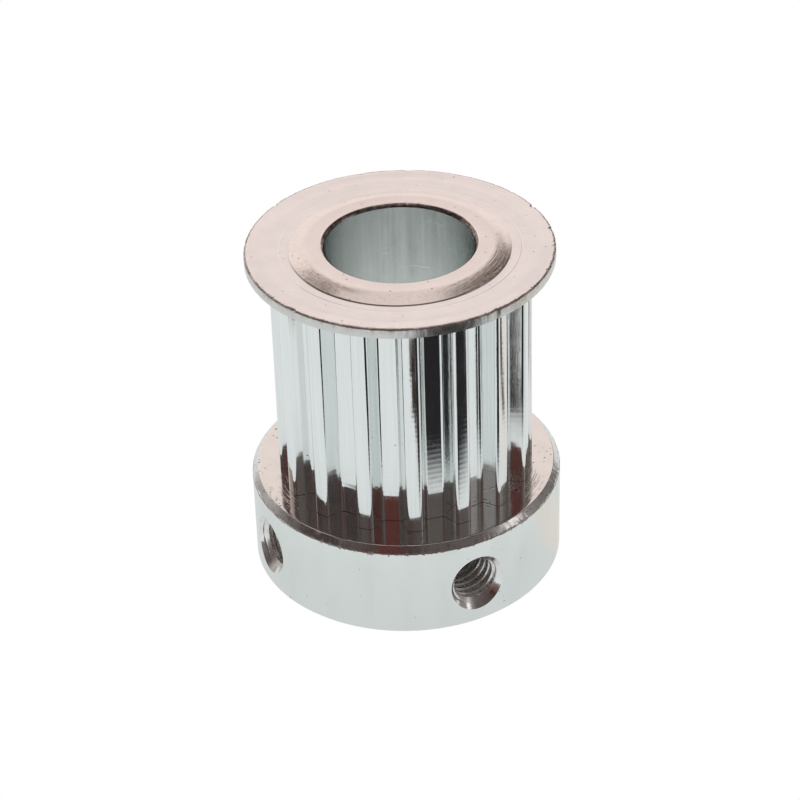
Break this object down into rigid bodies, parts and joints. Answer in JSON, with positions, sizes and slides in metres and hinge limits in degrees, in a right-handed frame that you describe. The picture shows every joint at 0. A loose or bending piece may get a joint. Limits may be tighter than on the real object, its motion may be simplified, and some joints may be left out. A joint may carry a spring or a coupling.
{
  "type": "timing belt pulley",
  "caption": "Metal timing belt pulley with straight trapezoidal teeth, one swaged side flange and a wide plain hub, bored for a shaft that two set screws clamp.",
  "frame": {"origin": "centre of the shaft bore at the hub's end face, on the surface the pulley stands on", "axes": "+Z along the shaft bore from the hub towards the flange; set screw 1 lies along -Y and set screw 2 along -X"},
  "size_m": [0.03, 0.03, 0.0343],
  "materials": {
    "toothed_body": "bright nickel plating over turned and milled steel",
    "hub_collar": "bright nickel plating over turned steel",
    "flange": "bright nickel plating over stamped steel sheet",
    "set_screw": "plain hardened steel, lightly oiled"
  },
  "bodies": {
    "pulley": {"toothed_body": "toothed_body", "hub_collar": "hub_collar", "flange": "flange"},
    "set_screw_1": {"set_screw_1": "set_screw"},
    "set_screw_2": {"set_screw_2": "set_screw"}
  },
  "joints": [
    {"name": "set_screw_1_travel", "type": "slide", "parent": "pulley", "child": "set_screw_1", "axis": [0, -1, 0], "range_m": [-0.0016, 0.0096]},
    {"name": "set_screw_2_travel", "type": "slide", "parent": "pulley", "child": "set_screw_2", "axis": [-1, 0, 0], "range_m": [-0.0016, 0.0096]}
  ]
}
